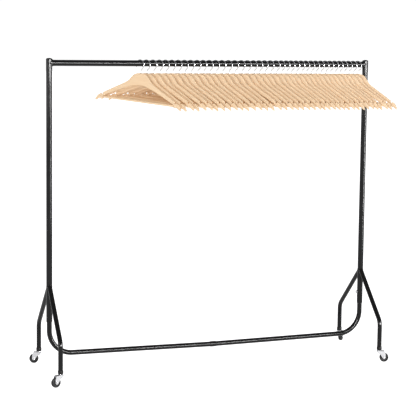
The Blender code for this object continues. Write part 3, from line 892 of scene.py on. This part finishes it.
@dataclass
class Caster:
    """The plastic leg end and the swivel caster under it.

    Args:
        tread_half: half the tread's width.
        axle_radius: the axle's radius.
    """

    tread_half: float = 8.5 * MM
    axle_radius: float = 3.0 * MM

    def build(self, corner: str) -> None:
        """Makes the leg end, stem, fork, axle and wheel of one corner."""
        socket = Extent.of(corner + "_leg_socket")
        foot = np.array([socket.centre[0], socket.centre[1], 0.0])
        self.leg_end(corner, socket, foot)
        self.stem(corner, foot)
        joints = {joint["name"]: joint for joint in frame["joints"]}
        axis = np.array(joints[corner + "_roll"]["axis"], float)
        hub = np.array(joints[corner + "_roll"]["pos_m"], float)
        self.fork(corner)
        self.axle(corner, hub, axis)
        self.wheel(corner, hub, axis)

    def leg_end(self, corner: str, socket: Extent, foot: np.ndarray) -> None:
        """Makes the collar that closes the leg and holds the stem."""
        rim = socket.size[0] / 2
        corners = [
            (0.0, 99.5 * MM),
            (10.6 * MM, 99.5 * MM),
            (10.6 * MM, 70.5 * MM),
            (rim - 1.5 * MM, 70.5 * MM),
            (rim - 1.5 * MM, 84.0 * MM),
            (rim - 0.4 * MM, 84.0 * MM),
            (rim, 82.6 * MM),
            (rim, 68.0 * MM),
            (rim - 1.4 * MM, 65.6 * MM),
            (rim - 4.0 * MM, 64.5 * MM),
            (5.5 * MM, 64.5 * MM),
            (5.5 * MM, 96.5 * MM),
            (0.0, 96.5 * MM),
        ]
        ring = lathe(eased(corners, 0.8 * MM), foot, UP, 64)
        piece(corner + "_leg_end", ring, Look.NYLON.value, "frame", (corner + "_leg_socket",))

    def stem(self, corner: str, foot: np.ndarray) -> None:
        """Makes the stem with its flange, and the rivet head under the fork."""
        corners = [
            (0.0, 95.5 * MM),
            (4.5 * MM, 95.5 * MM),
            (5.2 * MM, 94.5 * MM),
            (5.2 * MM, 64.1 * MM),
            (10.4 * MM, 64.1 * MM),
            (11.0 * MM, 63.5 * MM),
            (11.0 * MM, 61.1 * MM),
            (3.0 * MM, 61.1 * MM),
            (3.0 * MM, 58.3 * MM),
            (4.6 * MM, 58.3 * MM),
            (4.6 * MM, 57.3 * MM),
            (3.4 * MM, 56.8 * MM),
            (0.0, 56.8 * MM),
        ]
        stem = lathe(eased(corners, 0.4 * MM), foot, UP, 48)
        piece(corner + "_stem", stem, Look.ZINC.value, "frame", (corner + "_caster_stem",))

    def fork(self, corner: str) -> None:
        """Gives the pressed fork its finish and its softened edges."""
        node = frame["nodes"][corner + "_fork"]
        node.data.materials.clear()
        node.data.materials.append(Look.ZINC.value.material())
        bevel = node.modifiers.new("pressed_edges", "BEVEL")
        bevel.width = 0.5 * MM
        bevel.segments = 3
        bevel.limit_method = "ANGLE"
        bevel.angle_limit = math.radians(40)
        bevel.use_clamp_overlap = True

    def axle(self, corner: str, hub: np.ndarray, axis: np.ndarray) -> None:
        """Makes the riveted axle."""
        r = self.axle_radius
        half = [
            (0.0, 14.4 * MM),
            (3.2 * MM, 14.4 * MM),
            (4.5 * MM, 13.7 * MM),
            (4.8 * MM, 12.4 * MM),
            (r, 12.4 * MM),
        ]
        corners = half + [(a, -b) for a, b in reversed(half)]
        rod = lathe(eased(corners, 0.5 * MM), hub, axis, 40)
        piece(corner + "_axle_rod", rod, Look.ZINC.value, corner + "_fork", (corner + "_axle",))

    def wheel(self, corner: str, hub: np.ndarray, axis: np.ndarray) -> None:
        """Makes the wheel with its hub, its recessed web and its rounded tread."""
        tread = Extent.of(corner + "_wheel").size[2] / 2
        h = self.tread_half
        half = [
            (self.axle_radius + 0.2 * MM, h + 0.7 * MM),
            (6.6 * MM, h + 0.7 * MM),
            (7.4 * MM, h - 0.4 * MM),
            (7.8 * MM, h - 2.4 * MM),
            (tread - 7.0 * MM, h - 2.4 * MM),
            (tread - 6.0 * MM, h - 0.2 * MM),
            (tread - 3.6 * MM, h),
            (tread - 0.9 * MM, h - 1.2 * MM),
            (tread, h - 4.2 * MM),
        ]
        corners = half + [(a, -b) for a, b in reversed(half)] + half[:1]
        disc = lathe(eased(corners, 1.2 * MM, 4), hub, axis, 96)
        piece(corner + "_tyre", disc, Look.TREAD.value, corner + "_wheel", (corner + "_wheel",))


# -------------------------------------------------------------------------------------------------------- hangers


@dataclass
class Hanger:
    """One wooden hanger, built about the centre of its hook's ring.

    Args:
        ring: the radius of the ring's centre line.
        wire: the wire's radius.
        offset: how far the shank stands in front of the ring's centre.
        neck: how far the top of the wood lies under the ring's centre.
        shank_end: how far the wire reaches under the ring's centre.
        open_end: the angle at which the wire ends behind the rail, in degrees.
        thick: the wood's thickness.
        edge: the radius of the wood's edges.
        stations: the number of steps from the middle to a tip.
        notch: how far out the notched end of an arm begins.
        finer: how many times shorter the steps are there.
        bar_radius: the trouser bar's radius.
        bar_drop: how far the bar lies under the top of the wood.
        bar_half: half the bar's length.
        heading: the angle of the hook's plane from square to the rail, in degrees.
        twist: how much further the wood is turned, in degrees.
        tilt: how much lower the front end hangs, in degrees.
    """

    ring: float = 26.0 * MM
    wire: float = 2.0 * MM
    offset: float = 11.0 * MM
    neck: float = 43.5 * MM
    shank_end: float = 73.5 * MM
    open_end: float = 212.0
    thick: float = 12.0 * MM
    edge: float = 1.9 * MM
    stations: int = 90
    notch: float = 0.19
    finer: float = 3.0
    bar_radius: float = 5.6 * MM
    bar_drop: float = 0.149
    bar_half: float = 0.1955
    heading: float = 35.0
    twist: float = 20.0
    tilt: float = 6.5

    def half_outline(self) -> tuple[np.ndarray, np.ndarray]:
        """The upper and the lower edge of one arm, as (distance along the arm, height under the neck) in metres.

        Each edge is given by its corners, from the middle to the tip. Chaikin's rule cuts every corner twice: each side
        from p to q is replaced by the points (3p + q) / 4 and (p + 3q) / 4. The edge is then divided into equal steps,
        a third as long beyond the socket of the bar as before it.

        Returns:
            Two (n, 2) arrays that start on the middle line and end at the tip.
        """
        upper = [
            (0, 0.4), (9, 0.4), (26, -3.2), (40, -12), (52, -27), (63, -43),
            (79, -55.5), (120, -78.5), (196.5, -123.0), (199.8, -126.0), (200.5, -134.0), (203.0, -137.0),
            (206.3, -136.5), (207.8, -131.5), (213, -132.0), (220, -136.5), (229.5, -146), (237, -159.5),
            (239.4, -168),
        ]
        lower = [
            (0, -63.5), (30, -64.8), (68, -79.6), (108, -97.6), (150, -118), (186, -137.3),
            (196.6, -142.5), (196.6, -156), (199, -158.2), (210, -157.3), (221, -160.8), (230.5, -168.4),
            (237, -171.8), (239.4, -168),
        ]
        edges = []
        for corners in (upper, lower):
            line = np.array(corners) * MM
            for _ in range(2):
                cut = np.stack([0.75 * line[:-1] + 0.25 * line[1:], 0.25 * line[:-1] + 0.75 * line[1:]], 1)
                line = np.concatenate([line[:1], cut.reshape(-1, 2), line[-1:]])
            step = np.linalg.norm(np.diff(line, axis=0), axis=1)
            step = step * np.where(line[1:, 0] > self.notch, self.finer, 1.0)
            way = np.concatenate([[0.0], np.cumsum(step)])
            even = np.linspace(0.0, way[-1], self.stations + 1)
            edges.append(np.stack([np.interp(even, way, line[:, axis]) for axis in range(2)], -1))
        return edges[0], edges[1]

    def wood(self) -> Surface:
        """The shoulders with rounded edges, in the wood's own frame: X along the arm, Z up from the neck.

        The edge at the angle a is inset by e (1 - cos a) and lies e (1 - sin a) in from a face of the board. Each face
        is a strip of quads between the points of the upper and of the lower edge that have the same number.
        """
        upper, lower = self.half_outline()
        n = self.stations
        mirror = np.array([-1.0, 1.0])
        loop = np.concatenate([upper, lower[-2::-1], lower[1:] * mirror, upper[-2:0:-1] * mirror])
        along = np.roll(loop, -1, axis=0) - np.roll(loop, 1, axis=0)
        along /= np.linalg.norm(along, axis=1, keepdims=True)
        inward = np.stack([along[:, 1], -along[:, 0]], 1)
        turn = np.radians(np.linspace(0, 90, 4))
        inset = self.edge * (1 - np.cos(turn))
        out = self.thick / 2 - self.edge * (1 - np.sin(turn))
        insets = np.concatenate([inset[::-1], inset])
        depths = np.concatenate([out[::-1], -out])
        flat = loop[None] + inward[None] * insets[:, None, None]
        rows = np.stack([flat[..., 0], np.broadcast_to(depths[:, None], flat.shape[:2]), flat[..., 1]], -1)
        count, around = rows.shape[:2]
        k = np.arange(n - 1)
        right = np.stack([k, k + 1, 2 * n - k - 1, 2 * n - k], 1)
        left = np.stack([2 * n + k, 2 * n + k + 1, 4 * n - k - 1, (4 * n - k) % around], 1)
        tips = [[n - 1, n, n + 1], [3 * n - 1, 3 * n, 3 * n + 1]]
        faces = right.tolist() + left.tolist() + tips
        back = [[corner + (count - 1) * around for corner in face][::-1] for face in faces]
        i, j = np.meshgrid(np.arange(count - 1), np.arange(around), indexing="ij")
        here, beside = i * around + j, i * around + (j + 1) % around
        rim = np.stack([here, here + around, beside + around, beside], -1)
        return Surface(rows.reshape(-1, 3), rim.reshape(-1, 4).tolist() + faces + back).outward()

    def bar(self) -> Surface:
        """The trouser bar, in the wood's own frame."""
        reach = self.bar_half
        corners = [(0.0, reach), (self.bar_radius, reach), (self.bar_radius, -reach), (0.0, -reach)]
        return lathe(eased(corners, 0.6 * MM), np.array([0.0, 0.0, -self.bar_drop]), np.array([1.0, 0.0, 0.0]), 28)

    def hook(self) -> Surface:
        """The wire: up the shank, forward round the ring, over the rail and down to its open end."""
        meet = -math.acos(self.offset / self.ring) + math.radians(22)
        end = np.array([self.ring * math.cos(meet), 0.0, self.ring * math.sin(meet)])
        tangent = np.array([-math.sin(meet), 0.0, math.cos(meet)])
        low = self.ring * math.sin(meet - math.radians(22)) - 8 * MM
        start = np.array([self.offset, 0.0, low])
        share = np.linspace(0.0, 1.0, 9)[1:-1, None]
        blend = (start + UP * 9 * MM * share) * (1 - share) + (end - tangent * 9 * MM * (1 - share)) * share
        angle = np.linspace(meet, math.radians(self.open_end), 56)
        arc = np.stack([self.ring * np.cos(angle), np.zeros_like(angle), self.ring * np.sin(angle)], -1)
        shank = np.linspace([self.offset, 0.0, -self.shank_end], start, 6)
        path = np.concatenate([shank, blend, arc])
        radii = np.full(len(path), self.wire)
        rows = rings(path, radii, np.array([0.0, 1.0, 0.0]), 14)
        tip = path[-1] + (rows[-1] - path[-1]) * 0.55 + (path[-1] - path[-2]) * 0.35
        wire = Surface.grid(np.concatenate([rows, tip[None]]), caps=True)
        foot = np.array([self.offset, 0.0, -self.neck])
        corners = [
            (self.wire - 0.2 * MM, 1.6 * MM),
            (3.2 * MM, 1.5 * MM),
            (4.6 * MM, 0.7 * MM),
            (4.8 * MM, 0.0),
            (self.wire - 0.2 * MM, -0.3 * MM),
            (self.wire - 0.2 * MM, 1.6 * MM),
        ]
        return Surface.joined([wire, lathe(eased(corners, 0.3 * MM), foot, UP, 24)])

    def seat(self) -> Matrix:
        """Takes the wood's frame to the hook's."""
        return Matrix.Translation((self.offset, 0, -self.neck)) @ Matrix.Rotation(math.radians(self.twist), 4, "Z")

    def hung(self, place: np.ndarray, heading: float, tilt: float) -> Matrix:
        """Takes the hook's frame to the rack.

        Args:
            place: where the ring's centre goes.
            heading: degrees added to the hanger's heading.
            tilt: degrees added to its tilt.

        Returns:
            The 4 x 4 matrix.
        """
        turn = Matrix.Rotation(math.radians(self.heading + heading - 90), 4, "Z")
        lean = Matrix.Rotation(math.radians(self.tilt + tilt), 4, "Y")
        return Matrix.Translation(place.tolist()) @ turn @ lean


@dataclass
class HangerRow:
    """All the hangers: those of the CAD and, in each group, the four that hang beside one of them.

    Args:
        modelled: the place in the row of each hanger that the CAD has.
        group: how many hangers move together.
        seed: where the small differences between hangers start from.
    """

    modelled: tuple[int, ...] = (0, 7, 12, 17, 22, 27, 32, 39)
    group: int = 5
    seed: int = 11

    def build(self) -> None:
        """Makes every hanger, a group at a time."""
        hanger = Hanger()
        rng = np.random.default_rng(self.seed)
        hook, wood, bar = hanger.hook(), hanger.wood(), hanger.bar()
        turn = np.array(hanger.hung(np.zeros(3), 0.0, 0.0))[:3, :3]
        own = hook.points @ turn.T
        seats = []
        for number in range(1, len(self.modelled) + 1):
            box = Extent.of(f"hanger_{number}_hook")
            seats.append(
                [
                    box.centre[0] - (own[:, 0].max() + own[:, 0].min()) / 2,
                    box.centre[1] - (own[:, 1].max() + own[:, 1].min()) / 2,
                    box.high[2] - own[:, 2].max(),
                ]
            )
        seats = np.array(seats)
        row = np.arange(self.group * len(self.modelled))
        along = np.interp(row, self.modelled, seats[:, 0])
        for number, index in enumerate(self.modelled, 1):
            members = range(self.group * (number - 1), self.group * number)
            woods, hooks = [], []
            for member in members:
                shift = rng.uniform(-1.0, 1.0) * MM
                heading, tilt = rng.uniform(-0.3, 0.3), rng.uniform(-0.9, 0.9)
                board = rng.uniform(-40.0, 40.0, 3)
                body = f"hanger_{number}"
                if member == index:
                    frame_of = hanger.hung(seats[number - 1], 0.0, 0.0)
                else:
                    place = np.array([along[member] + shift, seats[number - 1][1], seats[number - 1][2]])
                    frame_of = hanger.hung(place, heading, tilt)
                shoulders = wood.with_grain(wood.points + board).moved(frame_of @ hanger.seat())
                rod = bar.with_grain(bar.points + board[::-1]).moved(frame_of @ hanger.seat())
                wire = hook.moved(frame_of)
                if member == index:
                    piece(f"{body}_board", shoulders, Look.WOOD.value, body, (f"{body}_shoulders",))
                    piece(f"{body}_rod", rod, Look.WOOD.value, body, (f"{body}_trouser_bar",))
                    piece(f"{body}_wire", wire, Look.CHROME.value, body, (f"{body}_hook",))
                else:
                    woods += [shoulders, rod]
                    hooks.append(wire)
            piece(f"hangers_beside_{number}_wood", Surface.joined(woods), Look.WOOD.value, f"hanger_{number}")
            piece(f"hangers_beside_{number}_wires", Surface.joined(hooks), Look.CHROME.value, f"hanger_{number}")


# --------------------------------------------------------------------------------------------------------- studio


@dataclass
class Studio:
    """The floor, the lamps, the white surround and the camera.

    Args:
        camera_place: the camera's place from the middle of the rack's uprights.
        yaw: how far the camera looks to the right of +Y, in radians.
        pitch: how far it looks down, in radians.
        roll: how far it is turned about its own axis, in radians.
        lens: its focal length in millimetres on a 36 mm sensor.
        shift: how far the view is shifted up, as a share of its width.
    """

    camera_place: tuple[float, float, float] = (-2.3904, -6.6219, 1.7666)
    yaw: float = 0.3429
    pitch: float = 0.1039
    roll: float = 0.0119
    lens: float = 113.15
    shift: float = -0.079

    def build(self) -> None:
        """Makes the whole studio."""
        self.floor()
        self.surround()
        self.lamps()
        self.camera()

    def middle(self) -> np.ndarray:
        """The place on the floor under the middle of the top rail, between the uprights."""
        left, right = Extent.of("left_upright").centre, Extent.of("right_upright").centre
        place = (left + right) / 2
        place[2] = 0.0
        return place

    def floor(self) -> None:
        """Makes the pale floor."""
        mesh = bpy.data.meshes.new("studio_floor")
        reach = 60.0
        corners = [(-reach, -reach, 0), (reach, -reach, 0), (reach, reach, 0), (-reach, reach, 0)]
        mesh.from_pydata(corners, [], [(0, 1, 2, 3)])
        item = bpy.data.objects.new("studio_floor", mesh)
        bpy.context.scene.collection.objects.link(item)
        material = bpy.data.materials.new("studio_floor")
        material.use_nodes = True
        shader = material.node_tree.nodes["Principled BSDF"]
        shader.inputs["Base Color"].default_value = (0.85, 0.85, 0.85, 1.0)
        shader.inputs["Roughness"].default_value = 0.9
        shader.inputs["Specular IOR Level"].default_value = 0.1
        shader.inputs["Emission Color"].default_value = (1.0, 1.0, 1.0, 1.0)
        tree = material.node_tree
        path = tree.nodes.new("ShaderNodeLightPath")
        glow = tree.nodes.new("ShaderNodeMapRange")
        glow.inputs["To Min"].default_value = 0.22
        glow.inputs["To Max"].default_value = 0.75
        tree.links.new(path.outputs["Is Camera Ray"], glow.inputs["Value"])
        tree.links.new(glow.outputs["Result"], shader.inputs["Emission Strength"])
        mesh.materials.append(material)

    def surround(self) -> None:
        """Makes the white surround, which lights the object less than it shows."""
        world = bpy.data.worlds.new("white_surround")
        bpy.context.scene.world = world
        world.use_nodes = True
        tree = world.node_tree
        tree.nodes.clear()
        out = tree.nodes.new("ShaderNodeOutputWorld")
        path = tree.nodes.new("ShaderNodeLightPath")
        shader = None
        for ray, colour, strength in (
            (None, (0.98, 0.985, 1.0), 0.80),
            ("Is Glossy Ray", (0.96, 0.96, 1.0), 0.26),
            ("Is Camera Ray", (1.0, 1.0, 1.0), 1.05),
        ):
            light = tree.nodes.new("ShaderNodeBackground")
            light.inputs["Color"].default_value = (*colour, 1.0)
            light.inputs["Strength"].default_value = strength
            if shader is None:
                shader = light.outputs["Background"]
                continue
            mix = tree.nodes.new("ShaderNodeMixShader")
            tree.links.new(path.outputs[ray], mix.inputs["Fac"])
            tree.links.new(shader, mix.inputs[1])
            tree.links.new(light.outputs["Background"], mix.inputs[2])
            shader = mix.outputs["Shader"]
        tree.links.new(shader, out.inputs["Surface"])
        bpy.context.scene.view_settings.view_transform = "Standard"

    def lamps(self) -> None:
        """Makes the soft boxes: the key at the left, a long thin one in front and a faint one at the right.

        Two more show only as reflections: the pale line along the rails and the one down the uprights.
        """
        target = self.middle() + np.array([0.0, 0.0, 1.0])
        for name, place, width, height, power, lights in (
            ("key_left", (-5.6, -2.7, 1.75), 2.4, 1.6, 60.0, True),
            ("strip_front", (1.2, -6.2, 1.86), 8.0, 0.12, 45.0, True),
            ("soft_box_right", (3.4, -3.2, 1.5), 0.4, 2.4, 20.0, True),
            ("gleam_along", (1.2, -7.6, 1.9), 9.0, 0.6, 1500.0, False),
            ("gleam_upright", (4.2, -3.6, 1.1), 0.4, 2.6, 300.0, False),
        ):
            data = bpy.data.lights.new(name, "AREA")
            data.shape = "RECTANGLE"
            data.size, data.size_y = width, height
            data.energy = power
            item = bpy.data.objects.new(name, data)
            item.visible_camera = False
            item.visible_diffuse = lights
            bpy.context.scene.collection.objects.link(item)
            spot = self.middle() + np.array(place)
            aim = target - spot
            item.matrix_world = self.facing(aim / np.linalg.norm(aim), spot)

    @staticmethod
    def facing(forward: np.ndarray, place: np.ndarray, roll: float = 0.0) -> Matrix:
        """Returns the matrix of something at the place that looks along forward, turned about it by the roll."""
        right = np.cross(forward, UP)
        right /= np.linalg.norm(right)
        up = np.cross(right, forward)
        side = right * math.cos(roll) + up * math.sin(roll)
        top = -right * math.sin(roll) + up * math.cos(roll)
        matrix = np.eye(4)
        matrix[:3, 0], matrix[:3, 1], matrix[:3, 2], matrix[:3, 3] = side, top, -forward, place
        return Matrix(matrix.tolist())

    def camera(self) -> None:
        """Makes the camera."""
        data = bpy.data.cameras.new("camera")
        data.lens = self.lens
        data.sensor_width = 36.0
        data.shift_y = self.shift
        data.clip_end = 200.0
        item = bpy.data.objects.new("camera", data)
        bpy.context.scene.collection.objects.link(item)
        forward = np.array(
            [
                math.sin(self.yaw) * math.cos(self.pitch),
                math.cos(self.yaw) * math.cos(self.pitch),
                -math.sin(self.pitch),
            ]
        )
        item.matrix_world = self.facing(forward, self.middle() + np.array(self.camera_place), self.roll)
        bpy.context.scene.camera = item


def main() -> None:
    """Builds the object, a sub-assembly at a time, and the studio round it."""
    logging.basicConfig(level=logging.INFO, format="%(name)s %(message)s")
    TopRail().build()
    for side in SIDES:
        Upright().build(side)
    BaseRail().build()
    for corner in CORNERS:
        Leg().build(corner)
        Caster().build(corner)
    HangerRow().build()
    Studio().build()


if __name__ == "__main__":
    main()
